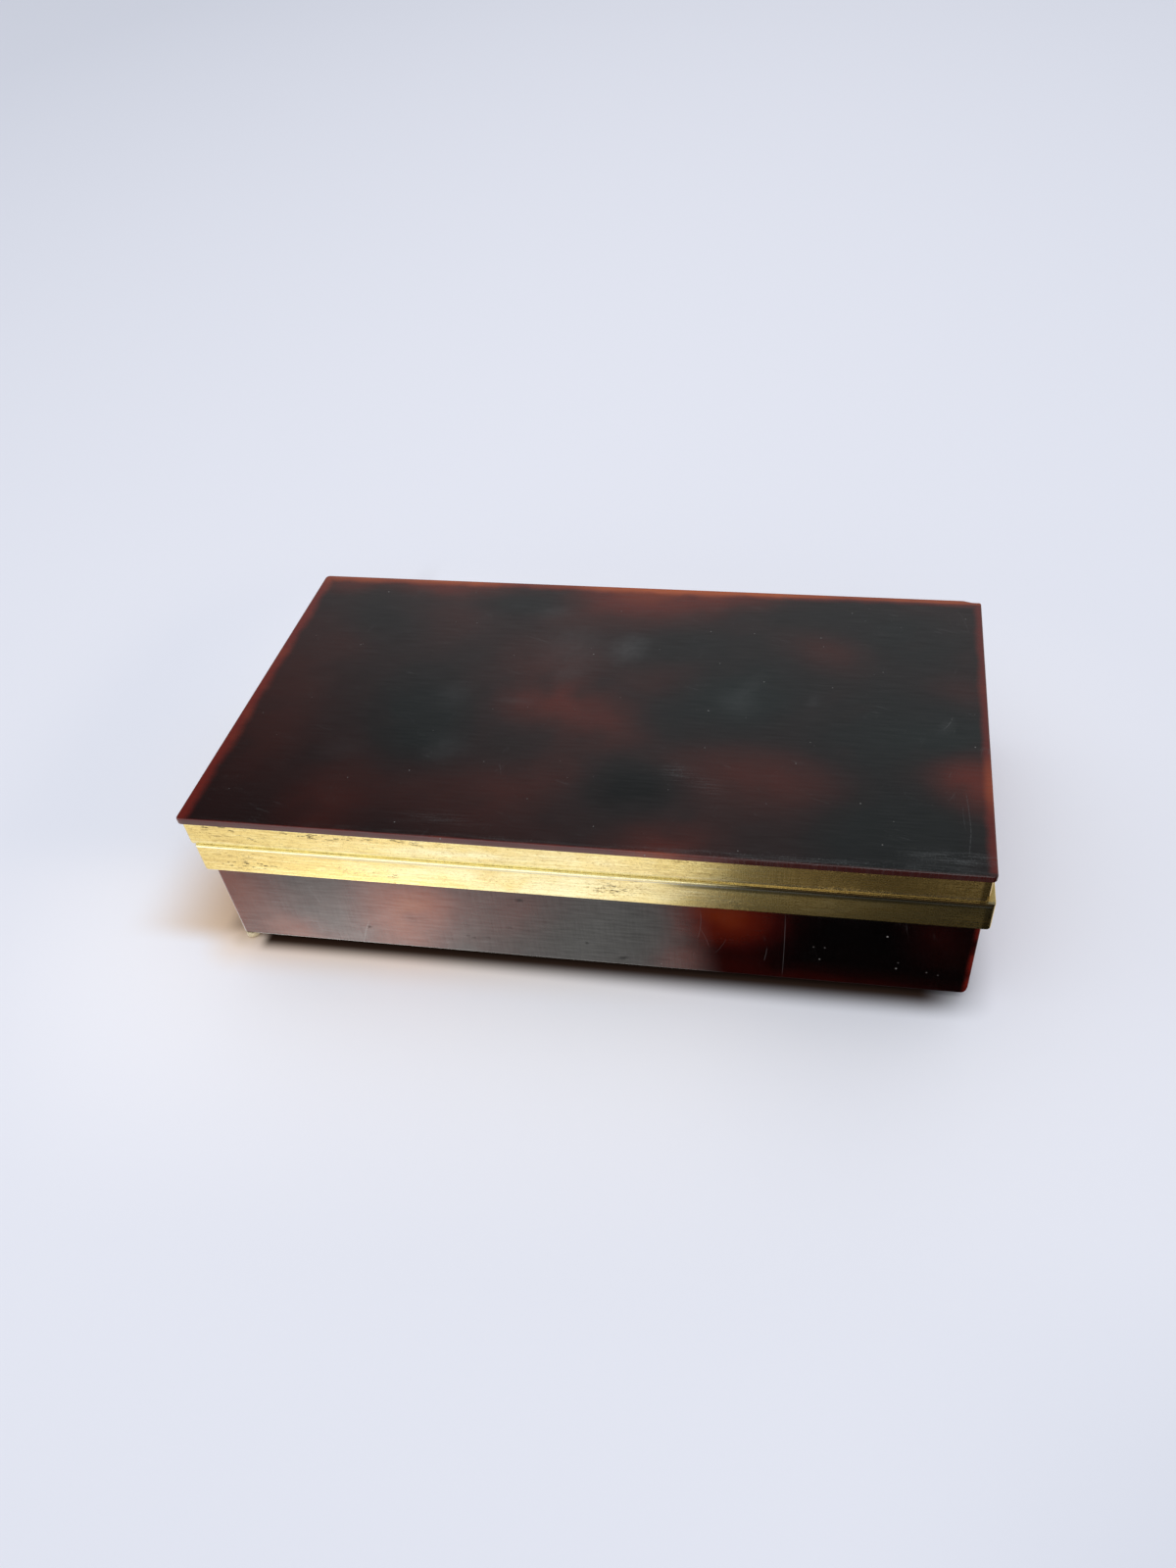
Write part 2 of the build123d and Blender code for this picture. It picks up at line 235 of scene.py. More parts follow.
def lidAcrylic():
    look = {
        # pigment of the cast sheet, from its black through maroon and red to amber
        "pigment": [
            (0.00, (0.0012, 0.0016, 0.0018)), (0.18, (0.0045, 0.0015, 0.0015)),
            (0.30, (0.0120, 0.0020, 0.0018)), (0.50, (0.0320, 0.0037, 0.0020)),
            (0.80, (0.0800, 0.0074, 0.0030)), (1.00, (0.1300, 0.0170, 0.0042))],
        "plain": 0.24, "cloudiness": 0.08, "cloudScale": 0.055, "drift": 3.0, "driftScale": 0.06,
        # patches of more or less amber: x, y, half length, half width, turn, strength
        "patches": [
            (-18, -2, 15, 10, 14, 0.39), (1, -9, 14, 10, -12, 0.42), (-19, 17, 19, 17, -24, 0.24),
            (8, 56, 36, 12, 2, 0.84), (-3, 41, 26, 8, 0, 0.26), (39, -23, 30, 10, -8, 0.28),
            (95, -23, 16, 13, -16, 0.69), (57, 28, 14, 13, -16, 0.31), (22, -57, 16, 12, 20, 0.39),
            (-65, -49, 12, 17, 6, 0.22), (-33, -42, 37, 15, -24, 0.18), (-60, 56, 20, 8, -2, 0.63),
            (-58, 37, 17, 15, -30, 0.19), (-93, -3, 17, 48, 6, 0.19), (-92, 55, 12, 7, 6, 0.45),
            (-79, 23, 11, 10, -4, 0.08), (93, 11, 17, 9, -22, 0.23), (-14, -29, 16, 13, 30, 0.25),
            (43, -35, 28, 10, 2, 0.16), (13, 9, 18, 10, 30, 0.26), (13, -34, 12, 10, -10, -0.32),
            (-50, -11, 13, 21, 18, -0.36), (-20, -25, 11, 9, 18, -0.14), (-71, 34, 17, 12, -30, -0.15),
            (-29, 47, 15, 7, 8, -0.23), (33, 6, 34, 20, 30, -0.32), (83, -7, 21, 21, 0, -0.50),
            (79, -48, 19, 22, -8, -0.46), (67, 41, 24, 10, -10, -0.25), (18, 28, 18, 8, 14, -0.16),
            (83, 29, 12, 17, -20, -0.18), (62, -11, 18, 7, -6, -0.14)],
        # a green cast on the black, laid out in the same way, where there is less amber than this
        "greenish": [(36, 5, 13, 11, 0, 1.0), (86, -8, 20, 10, 0, 0.8), (78, -44, 24, 12, 0, 0.35),
                     (-50, -14, 14, 16, 0, 0.35)],
        "greenTint": (0.0010, 0.0075, 0.0068), "greenAmber": (0.32, 0.05), "greenCast": 0.6,
        # Light that comes in at the cut edge and lights up the rim: reach in millimetres and strength,
        # and the share of the reach that it fills.
        "rimReach": {"left": 4.5, "back": 4.4, "right": 3.0, "front": 0.9},
        "rimStrength": {"left": 1.00, "back": 0.85, "right": 0.68, "front": 0.75},
        "rimFull": 0.25, "rimRed": (0.120, 0.010, 0.006), "rimAmber": (0.360, 0.075, 0.018),
        # how far the rim is amber: more by the back edge, and in a line a little way in from it
        "warmFrom": 0.35, "warmAmber": 1.2, "warmUneven": 0.7,
        "warmBack": 0.27, "warmBackReach": (4.5, 0.5),
        "line": 0.5, "lineIn": 1.7, "lineHalf": 1.0, "lineAlong": (-20.0, 60.0),
        # the rim's painted glow is taken away at the front, right of the middle, a little less on the front
        # face itself
        "worn": 0.70, "wornReach": (2.0, 1.0), "wornAlong": (22.0, 44.0), "faceKept": 0.06,
        "frontFace": (0.3, 0.1),
        # finger marks: x, y, half length, half width, turn, strength
        "smudges": [
            (-15, 24, 9, 12, 15, 0.24), (1, 25, 5.5, 7, -10, 0.44), (-24, 42, 6, 4, 0, 0.20),
            (35, 3, 5, 6, 30, 0.20), (38, 11, 3, 6, -30, 0.12), (-44, 0, 5, 6, 0, 0.14),
            (-40, -23, 6, 6, 0, 0.18), (55, 5, 2, 4, -20, 0.14), (-26, -1.5, 6, 1.6, 0, 0.16),
            (90, -3, 2, 4, -25, 0.16), (-68, -26, 7, 5, 0, 0.08), (-14, 12, 5, 3, 20, 0.14)],
        # rubbed places along the front and by the corners, and one that has lost its shine
        "rubbed": [(92, -51.5, 13, 2.8, 0, 0.80), (22, -27, 4, 3, -30, 0.65), (30, -31, 6, 3, -40, 0.40),
                   (-34, -50, 12, 2.2, 0, 0.35), (60, -55.5, 46, 1.4, 0, 0.60),
                   (-20, -55.8, 70, 1.0, 0, 0.3)],
        "bare": [(12, -35, 11, 8, 0, 1.0)],
        # x, y of the foot, length, lean, bow, half width, strength
        "marks": [(94.4, -28, -17, 0.9, 0.2, 0.22, 0.55), (95.3, -40, -11, -0.8, 0.1, 0.20, 0.60),
                  (93.6, -33, -9, 0.5, -0.2, 0.16, 0.40), (89.4, -4, 5.5, 2.4, 0.4, 0.26, 0.75),
                  (-24.2, -28, -4, 1.4, 0.2, 0.22, 0.60), (94, 52, -12, 3.2, 0.4, 0.20, 0.30),
                  (91, 49, -9, 2.6, -0.2, 0.16, 0.20)],
        # stray scratches: shift, turn, scale along and across, rarity, half width
        "strays": [((7, 3), 0.35, 0.04, 0.55, 0.55, 0.006), ((2, 9), 1.9, 0.05, 0.5, 0.58, 0.006)],
        "strayStrength": 0.25,
        # nibbles in the front edge: distance from it, and where along x they set in
        "nibbleReach": (1.1, 0.35), "nibbleAlong": (0.0, 60.0), "nibbleShine": 0.35,
        # dust: spacing, share of the cells, seed, radius
        "dust": [(4.6, 0.45, 1.7, 0.30), (3.1, 0.10, 5.1, 0.22)], "dustColour": (0.170, 0.165, 0.160),
        # the pale film of marks and grease; the front face has less of it at the right, a painted shade,
        # and at the left a painted grey sheen
        "film": (0.085, 0.090, 0.092), "filmShows": 0.5, "faceDarkRight": 0.75, "faceDarkRightAlong": (15.0, 45.0),
        "faceSheen": 0.22, "faceSheenAlong": (30.0, 5.0),
        "roughness": 0.16, "filmRoughness": 0.16, "grainRoughness": 0.05, "dustRoughness": 0.3,
        "coat": 0.27, "grainCoat": 0.8, "smudgeCoat": 0.35, "markCoat": 0.5, "coatRoughness": 0.16,
        "ior": 1.40, "bumpDepth": 0.012,
    }
    finish = Finish("tortoiseshell_lid")
    point = finish.point()
    x, y = finish.split(point)[:2]
    flat = finish.joined(x, y)
    drifted = finish.warped(flat, look["driftScale"], look["drift"])
    cloud = finish.noise(drifted, look["cloudScale"], 1.0)
    amber = finish.spots(drifted, look["patches"]) + (cloud - 0.5) * look["cloudiness"] + look["plain"]
    amber = amber.held()
    colour = finish.colours(amber, look["pigment"])
    greenish = finish.spots(drifted, look["greenish"]) * amber.rise(*look["greenAmber"])
    colour = finish.mixed(greenish * look["greenCast"], colour, look["greenTint"])

    fromEdge = {"left": x - plateLow[0], "right": plateHigh[0] - x,
                "front": y - plateLow[1], "back": plateHigh[1] - y}
    uneven = finish.noise(flat, 0.10, 3.0) * 0.8 + 0.6
    hatched = finish.noise(finish.stretched(flat, (0.25, 1.4, 1.0)), 1.0, 2.0) * 0.6 + 0.7
    rimGlow = None
    for side, distance in fromEdge.items():
        reach = look["rimReach"][side]
        glow = (distance / uneven).rise(reach, reach * look["rimFull"]) * look["rimStrength"][side]
        rimGlow = glow if rimGlow is None else rimGlow.most(glow)
    frontFace = fromEdge["front"].rise(*look["frontFace"])
    # painted glow of the rim, taken away at the front right of the middle
    worn = fromEdge["front"].rise(*look["wornReach"]) * (look["worn"] - frontFace * look["faceKept"])
    rimGlow = rimGlow * hatched * (1 - worn * x.rise(*look["wornAlong"]))
    line = (fromEdge["back"] - look["lineIn"]).rise(look["lineHalf"], 0.0)
    line = line * x.rise(*look["lineAlong"]) * look["line"]
    warm = (amber - look["warmFrom"]) * look["warmAmber"]
    warm = warm + fromEdge["back"].rise(*look["warmBackReach"]) * look["warmBack"]
    warm = warm + (uneven - 1.0) * look["warmUneven"] + line
    colour = finish.mixed(rimGlow, colour, finish.mixed(warm.held(), look["rimRed"], look["rimAmber"]))

    blotted = finish.warped(flat, 0.35, 2.4)
    smudge = finish.spots(blotted, look["smudges"]) * (finish.noise(blotted, 0.4, 4.0) * 1.2 + 0.4)
    grain = finish.noise(finish.stretched(flat, (0.10, 1.5, 1.0)), 1.0, 5.0, 0.65)
    speckled = finish.noise(flat, 1.7, 4.0, 0.65)
    rubbing = grain.rise(0.44, 0.62) + speckled.rise(0.50, 0.66)
    rubbed = finish.spots(finish.warped(flat, 0.5, 2.0), look["rubbed"]) * rubbing * 0.7
    nibbled = fromEdge["front"].rise(*look["nibbleReach"]) * x.rise(*look["nibbleAlong"])
    nibbled = nibbled * speckled.rise(0.50, 0.60)
    marks = finish.scratches(x, y, look["marks"]) * speckled.rise(0.36, 0.60)
    strays = [finish.hairs(flat, *stray) for stray in look["strays"]]
    marks = marks.most(strays[0].most(strays[1]) * look["strayStrength"])
    dust = finish.dust(point, look["dust"])
    film = (smudge + rubbed + marks + (grain - 0.5) * 0.06 + nibbled * look["nibbleShine"]).held()
    # painted shade: less film on the front face at the right; painted reflection: a grey sheen on it at the
    # left
    film = film * (1 - frontFace * x.rise(*look["faceDarkRightAlong"]) * look["faceDarkRight"])
    faceSheen = frontFace * x.rise(*look["faceSheenAlong"]) * look["faceSheen"]
    colour = finish.mixed(film * look["filmShows"], colour, look["film"])
    colour = finish.mixed(faceSheen, colour, look["film"])
    colour = finish.mixed(dust, colour, look["dustColour"])

    rough = (look["roughness"] + film * look["filmRoughness"] + (grain - 0.5) * look["grainRoughness"]
             + dust * look["dustRoughness"])
    height = grain * 0.10 - marks * 0.3 + dust * 0.3 - nibbled * 1.0 + finish.noise(flat, 0.06, 2.0) * 2.0
    coat = (look["coat"] + (grain - 0.5) * look["grainCoat"] + smudge * look["smudgeCoat"]
            + marks * look["markCoat"] - finish.spots(drifted, look["bare"]) * look["coat"])
    return finish.surface({
        "Base Color": colour, "Roughness": rough.held(), "IOR": look["ior"], "Coat Weight": coat.held(),
        "Coat Roughness": look["coatRoughness"], "Normal": finish.bump(height, look["bumpDepth"])})


def bodyAcrylic(name, face, sheet):
    # face names the two axes of the sheet's own plane, so its pattern runs right through its thickness
    look = {
        "pigment": [
            (0.00, (0.0005, 0.0004, 0.0004)), (0.15, (0.0070, 0.0005, 0.0004)),
            (0.30, (0.0260, 0.0014, 0.0008)), (0.50, (0.0800, 0.0058, 0.0012)),
            (0.80, (0.2050, 0.0290, 0.0040)), (1.00, (0.3600, 0.0850, 0.0140))],
        "cloudScale": 0.06, "driftScale": 0.07,
        # painted glow: the red rim up both ends of the walls; painted highlight: the pale line along their
        # foot: reach, strength
        "endGlowRed": (0.180, 0.010, 0.005), "endReach": (2.0, 0.2), "endGlowStrength": 0.8,
        "footReach": (0.50, 0.15), "footHighlight": 0.45,
        "film": (0.070, 0.070, 0.068), "filmShows": 0.5, "scored": (0.30, 0.29, 0.28), "scoredShows": 0.38,
        "noDents": [(0, 0, 1, 1, 0, 0.0)], "dentShade": 0.8,
        # stray scratches: shift, turn, scale along and across, rarity, half width
        "strays": ((4, sheet["seed"]), 1.3, 0.06, 0.6, 0.56, 0.008), "strayStrength": 0.10,
        # dust: spacing, share of the cells, seed, radius
        "dust": [(5.5, 0.4, sheet["seed"], 0.26), (3.0, 0.08, 4.0, 0.2)],
        "dustColour": (0.42, 0.40, 0.37), "dustStrength": 0.5,
        "roughness": 0.15, "ior": 1.40, "coat": 0.27, "coatRoughness": 0.15, "bumpDepth": 0.012,
    }
    finish = Finish(name)
    point = finish.point()
    places = dict(zip("xyz", finish.split(point)))
    u, v = places[face[0]], places[face[1]]
    flat = finish.joined(u, v)
    drifted = finish.warped(flat, look["driftScale"], sheet["drift"])
    seeded = finish.stretched(drifted, (1, 1, 1), (sheet["seed"], 0, 0))
    cloud = finish.noise(seeded, look["cloudScale"], 1.5)
    amber = finish.spots(drifted, sheet["patches"]) + (cloud - 0.5) * sheet["cloudiness"] + sheet["plain"]
    colour = finish.colours(amber.held(), look["pigment"])
    # painted glow: red up both ends of the walls
    rimGlow = (wallsHigh[0] - places["x"]).rise(*look["endReach"])
    rimGlow = rimGlow.most((places["x"] - wallsLow[0]).rise(*look["endReach"]))
    rimGlow = rimGlow * finish.noise(flat, 0.12, 2.0).rise(0.25, 0.65)
    colour = finish.mixed(rimGlow * look["endGlowStrength"], colour, look["endGlowRed"])

    grain = finish.noise(finish.stretched(flat, (0.12, 1.3, 1.0), turn=(0, 0, 0.12)), 1.0, 5.0, 0.65)
    streaks = finish.noise(finish.stretched(flat, (2.4, 0.10, 1.0)), 1.0, 3.0, 0.6)
    marks = finish.hairs(flat, *look["strays"]) * look["strayStrength"]
    if "marks" in sheet:
        marks = marks.most(finish.scratches(u, v, sheet["marks"]))
    dents = finish.spots(finish.warped(flat, 1.2, 0.8), sheet.get("dents", look["noDents"])).held()
    dust = finish.dust(point, look["dust"]) * look["dustStrength"]
    if "specks" in sheet:
        dust = dust.most(finish.spots(flat, [(across, up, half, half, 0, strength)
                                             for across, up, half, strength in sheet["specks"]]))
    film = (marks + (grain - 0.5) * 0.10 + (streaks - 0.5) * 0.12).held()
    # painted highlight: a pale line along the foot of the walls
    foot = (places["z"] - wallsLow[2]).rise(*look["footReach"])
    colour = finish.mixed(film * look["filmShows"], colour, look["film"])
    colour = finish.mixed(marks * look["scoredShows"], colour, look["scored"])
    colour = finish.mixed(foot * look["footHighlight"], colour, look["film"])
    # painted shade: the dents darkened in colour
    colour = finish.mixed(dents * look["dentShade"], colour, look["pigment"][0][1])
    colour = finish.mixed(dust, colour, look["dustColour"])
    rough = look["roughness"] + film * 0.25 + (grain - 0.5) * 0.16 + (streaks - 0.5) * 0.10 + dents * 0.5
    height = grain * 0.8 + streaks * 0.6 - marks * 0.6 - dents * 1.6 + dust * 0.3
    height = height + finish.noise(flat, 0.08, 2.0) * 2.0 + finish.noise(flat, 0.35, 2.0) * 0.6
    # the polish is thinner along the brushing and in the dents, so less is mirrored there
    coat = look["coat"] + (grain - 0.5) * 1.1 + (streaks - 0.5) * 0.5 + marks * 0.6 - dents * 0.4
    return finish.surface({
        "Base Color": colour, "Roughness": rough.held(), "IOR": look["ior"], "Coat Weight": coat.held(),
        "Coat Roughness": look["coatRoughness"], "Normal": finish.bump(height, look["bumpDepth"])})


sheets = {
    "wall_front": ("xz", {
        "seed": 1.0, "cloudiness": 0.06, "plain": 0.02, "drift": 2.0,
        # patches of more or less amber: x, z, half length, half height, turn, strength
        "patches": [
            (-98, 22, 16, 29, 8, 0.57), (-80, 2, 11, 9, -14, 0.45), (-99, 3, 7, 12, 12, 0.16),
            (-68, 15, 26, 38, 14, 0.31), (-49.5, 17, 12.5, 20, 4, 0.58), (-56, 1, 13, 11, -4, 0.23),
            (-38, 22, 9, 10, -10, 0.26), (-28, 18, 19, 34, 2, 0.36), (-7, 25, 17, 13, 22, 0.28),
            (25, 9, 8, 14, -12, 0.28), (37, 27, 18, 11, -2, 0.58), (39, 14, 15, 9, 8, 0.25),
            (67, -1, 58, 8, -4, 0.33), (91, 23, 9, 14, 30, 0.16), (1, 18, 13, 21, 30, -0.10)],
        # x, z of the foot, length, lean, bow, half width, strength
        "marks": [(-62.6, 2.5, 9, 3.6, -0.2, 0.16, 0.6), (52.6, 2.5, 25, 0.2, 0.15, 0.14, 0.32),
                  (47.8, 8.5, 5.5, 0.7, 0.1, 0.14, 0.34), (30.5, 15, 11, 1.0, 0.5, 0.16, 0.22),
                  (33.5, 12, 8, -2.6, 0.4, 0.14, 0.22), (35.0, 10, 6, 3.0, 0.3, 0.12, 0.20)],
        # single grains of dust: x, z, half width, strength
        "specks": [(78.2, 21.7, 0.24, 0.8), (63.1, 15.6, 0.18, 0.4), (62.0, 11.0, 0.20, 0.6),
                   (81.7, 12.1, 0.18, 0.3), (81.4, 9.8, 0.23, 0.7), (89.1, 9.2, 0.18, 0.4),
                   (92.0, 8.5, 0.18, 0.3)],
        "dents": [(-15.4, 24.5, 1.0, 0.7, 0, 1.0), (-59.4, 8.9, 0.7, 0.5, 30, 0.9),
                  (-31.8, 8.7, 0.7, 0.5, 0, 0.6), (-30.2, 8.1, 0.8, 0.5, 0, 0.6),
                  (1.0, 9.8, 0.6, 0.6, 0, 0.9), (10.4, 4.9, 1.6, 0.8, 20, 1.0),
                  (-26.0, 8.6, 0.7, 0.6, 0, 0.4), (-19.5, 13.5, 0.9, 0.7, 0, 0.4)]}),
    "wall_back": ("xz", {
        "seed": 23.0, "cloudiness": 0.7, "drift": 6.0, "plain": 0.28,
        "patches": [(-60, 18, 24, 16, 0, 0.5), (8, 8, 26, 12, 0, 0.35), (64, 20, 20, 16, 0, 0.55),
                    (-20, 22, 18, 12, 0, -0.4), (36, 14, 14, 20, 0, -0.3), (-90, 10, 12, 20, 0, -0.3)]}),
    "wall_left": ("yz", {
        "seed": 41.0, "cloudiness": 0.7, "drift": 6.0, "plain": 0.28,
        "patches": [(24, 18, 16, 14, 0, 0.5), (-36, 10, 16, 12, 0, 0.45), (-4, 20, 14, 14, 0, -0.35)]}),
    "wall_right": ("yz", {
        "seed": 57.0, "cloudiness": 0.7, "drift": 6.0, "plain": 0.26,
        "patches": [(-28, 20, 16, 12, 0, 0.5), (30, 12, 18, 12, 0, 0.5), (4, 16, 12, 18, 0, -0.35)]}),
    "floor_panel": ("xy", {
        "seed": 73.0, "cloudiness": 0.7, "drift": 6.0, "plain": 0.26,
        "patches": [(-52, 16, 30, 18, 10, 0.5), (44, -18, 32, 16, 0, 0.5), (0, 30, 30, 16, 0, -0.4),
                    (-10, -30, 24, 14, 0, -0.3), (80, 26, 20, 18, 0, 0.3)]}),
}


def frameBrass(name, low, high, wear):
    look = {
        "gold": (0.850, 0.690, 0.290), "orange": (0.810, 0.610, 0.220), "pale": (0.950, 0.880, 0.560),
        "worn": (0.950, 0.895, 0.600), "dull": (0.470, 0.330, 0.120), "bronze": (0.800, 0.530, 0.170),
        "grey": (0.600, 0.530, 0.380), "greenBlack": (0.100, 0.092, 0.052), "darkBrown": (0.045, 0.030, 0.014),
        "cool": (0.42, 0.44, 0.44),
        # clouds and brushing: scale along the bar, across it and up, shift along it, detail, roughness
        "clouds": {
            "mottle": ((0.06, 0.2, 0.25), 0, 4.0, 0.60), "brushed": ((0.14, 1.9, 2.1), 0, 5.0, 0.65),
            "broad": ((0.03, 1.0, 1.2), 0, 3.0, 0.60), "upright": ((2.6, 1.0, 0.16), 0, 4.0, 0.60),
            "fine": ((1.2, 2.0, 2.0), 0, 4.0, 0.70), "stipple": ((1.2, 1.7, 1.7), 0, 4.0, 0.70),
            "dash": ((0.42, 1.7, 1.7), 3, 3.0, 0.65)},
        "mitreHalf": 0.02, "solderHalf": 0.11, "sideShift": 400,
        "tarnishReach": (1.1, 0.3), "bronzeAlong": (34.0, 62.0),
        # Where lid and body meet, by height off that line, depth in from the front face, and x. The body's
        # ledge has a painted highlight, brighter at the left, and so has its arris; a painted cool
        # reflection runs under that; at the right both get painted shade instead. The foot of the lid's bar
        # has a painted highlight, pale, and grey to the right.
        "faceDeep": (0.06, 0.02),
        "arrisDeep": (0.42, 0.34), "arrisAlong": (48.0, 4.0),
        "ledgeHigh": (0.05, 0.01), "ledgeDeep": (1.4, 1.1), "ledgeHighlight": 0.75,
        "ledgeLeftLightAlong": (40.0, 10.0), "ledgeLeftLight": 0.45,
        "coolAt": 0.66, "coolHalf": (0.30, 0.1), "coolAlong": (-85.0, -60.0), "coolShows": 0.5,
        "jointShadeHigh": (0.45, 0.25), "jointShadeDeep": (0.62, 0.46), "jointShadeAlong": (24.0, 44.0),
        "ledgeShade": 0.62, "ledgeShadeAlong": (40.0, 90.0),
        "footHigh": (1.5, 0.8), "footGreyAlong": (0.0, 45.0),
        # painted shade: a dark band along the top of the body's bar, and the dark of its right end
        "bandAt": 0.95, "bandHalf": (1.25, 0.35), "bandAlong": (19.0, 30.0), "band": 0.75,
        "darkAlong": (74.0, 96.0), "darkHigh": (31.5, 35.0), "dark": 0.5,
        # painted shade at the right end of each bar: reach, strength
        "endReach": (2.6, 1.8), "endShade": 0.6,
        "roughness": 0.25, "bumpDepth": 0.02,
    }
    finish = Finish(name)
    x, y, z = finish.split(finish.point())
    middle, half = (low + high) / 2, (high - low) / 2
    overX, overY = abs(x - middle[0]) - half[0], abs(y - middle[1]) - half[1]
    sideBar = (overX - overY).rise(-look["mitreHalf"], look["mitreHalf"])      # 1 on the side bars
    lengthwise = x * (1 - sideBar) + y * sideBar
    across = y * (1 - sideBar) + x * sideBar
    laid = finish.joined(lengthwise, across, z)      # every bar laid along its own length
    face = finish.joined(x + sideBar * look["sideShift"], z)      # for marks that the side bars lack

    clouds = {cloud: finish.noise(finish.stretched(laid, scale, (shift, 0, 0)), 1.0, detail, roughness)
              for cloud, (scale, shift, detail, roughness) in look["clouds"].items()}
    mottle, brushed = clouds["mottle"], clouds["brushed"]
    stipple, upright = clouds["stipple"], clouds["upright"]
    uprightHere = finish.spots(face, wear["upright"]).held()
    pitsHere = finish.spots(face, wear["pitted"]) + finish.noise(laid, 0.05, 2.0).rise(0.50, 0.66) * 0.5
    pits = clouds["fine"].rise(0.53, 0.61) * pitsHere.held()
    dashesHere = finish.spots(face, wear["dashed"]) * 0.9 + 0.12
    dashes = clouds["dash"].rise(0.55, 0.61) * dashesHere.held()
    paleHere = (finish.spots(finish.warped(face, 0.1, 4.0), wear["pale"]) + (mottle - 0.5) * 0.9).held()
    seam = abs(overX - overY).rise(look["solderHalf"], 0.0)      # the mitre's solder line
    meeting = abs(z - wear["seam"])
    tarnish = meeting.rise(*look["tarnishReach"]) * finish.noise(laid, 0.9, 4.0, 0.65).rise(0.42, 0.60)

    def deep(name):
        # 1 from the front face in to the depths of that name
        return y.rise(*(low[1] + depth for depth in look[name]))

    outside = deep("faceDeep")
    # painted highlight on the arris of the body's bar, at the left
    arris = deep("arrisDeep") * meeting.rise(wear["arrisHigh"], wear["arrisHigh"] * 0.6)
    arris = arris * x.rise(*look["arrisAlong"]) * wear["meetingLight"]
    ledge = meeting.rise(*look["ledgeHigh"]) * deep("ledgeDeep")
    # painted reflection: a cool line under the arris
    cool = outside * abs(meeting - look["coolAt"]).rise(*look["coolHalf"])
    cool = cool * wear["meetingLight"] * x.rise(*look["coolAlong"]) * look["coolShows"]
    # painted shade along the joint and on the ledge, at the right
    jointShade = meeting.rise(*look["jointShadeHigh"]) * deep("jointShadeDeep") * x.rise(*look["jointShadeAlong"])
    jointShade = jointShade.most(ledge * x.rise(*look["ledgeShadeAlong"]) * look["ledgeShade"]) * wear["meetingLight"]
    ledge = ledge * wear["meetingLight"]
    # painted highlight at the foot of the lid's bar, pale, and grey to the right
    foot = meeting.rise(*look["footHigh"]) * wear["foot"]
    footColour = finish.mixed(x.rise(*look["footGreyAlong"]), look["pale"], look["grey"])
    # painted shade: the dark band and the dark at the right end
    band = abs(meeting - look["bandAt"]).rise(*look["bandHalf"]) * x.rise(*look["bandAlong"]) * look["band"]
    dark = x.rise(*look["darkAlong"]) * z.rise(*look["darkHigh"]) * look["dark"]
    shaded = outside * band.most(dark) * wear["meetingLight"]
    ends = (high[0] - x).rise(*look["endReach"]) * outside

    colour = finish.mixed(mottle.rise(0.35, 0.65), look["gold"], look["orange"])
    colour = finish.mixed(paleHere, colour, look["pale"])
    colour = finish.mixed((brushed - 0.44).held() * 1.6 + (clouds["broad"] - 0.5).held() * 0.9,
                          colour, look["dull"])
    colour = finish.mixed((0.47 - brushed).held() * 3.0, colour, look["pale"])
    colour = finish.mixed((stipple - 0.53).held() * 3.8, colour, look["dull"])
    colour = finish.mixed(x.rise(*look["bronzeAlong"]) * wear["bronzed"], colour, look["bronze"])
    # painted highlight on the ledge, brighter at the left
    colour = finish.mixed(ledge * look["ledgeHighlight"], colour, look["pale"])
    colour = finish.mixed(foot, colour, footColour)
    colour = finish.mixed(ledge * x.rise(*look["ledgeLeftLightAlong"]) * look["ledgeLeftLight"], colour, look["worn"])
    colour = finish.mixed(tarnish * wear["tarnish"], colour, look["dull"])
    colour = finish.mixed((upright - 0.5).held() * uprightHere * 2.0, colour, look["darkBrown"])
    colour = finish.mixed(pits * 0.70, colour, look["dull"])
    # dashes and the solder line are dirt; the joint and ledge shade mixed in here is painted shade
    colour = finish.mixed((dashes * 0.90).most(seam * 0.75).most(jointShade), colour, look["darkBrown"])
    # painted shade at the right end of each bar
    colour = finish.mixed(ends * look["endShade"], colour, look["darkBrown"])
    colour = finish.mixed(shaded, colour, look["greenBlack"])
    # painted reflection, then the arris's painted highlight
    colour = finish.mixed(cool, colour, look["cool"])
    colour = finish.mixed(arris, colour, look["worn"])
    rough = look["roughness"] + (brushed - 0.5) * 0.30 + (mottle - 0.5) * 0.15 + pits * 0.2 + dashes * 0.2
    rough = rough + uprightHere * (upright - 0.45) * 0.5 + (stipple - 0.5) * 0.25
    height = brushed * 0.7 + upright * uprightHere * 0.8 - pits * 0.9 - dashes * 1.4 - seam * 1.5
    height = height + finish.noise(laid, 0.5, 2.0) * 1.0 + stipple * 0.35
    return finish.surface({"Base Color": colour, "Metallic": 1.0, "Roughness": rough.held(),
                           "Normal": finish.bump(height, look["bumpDepth"])})


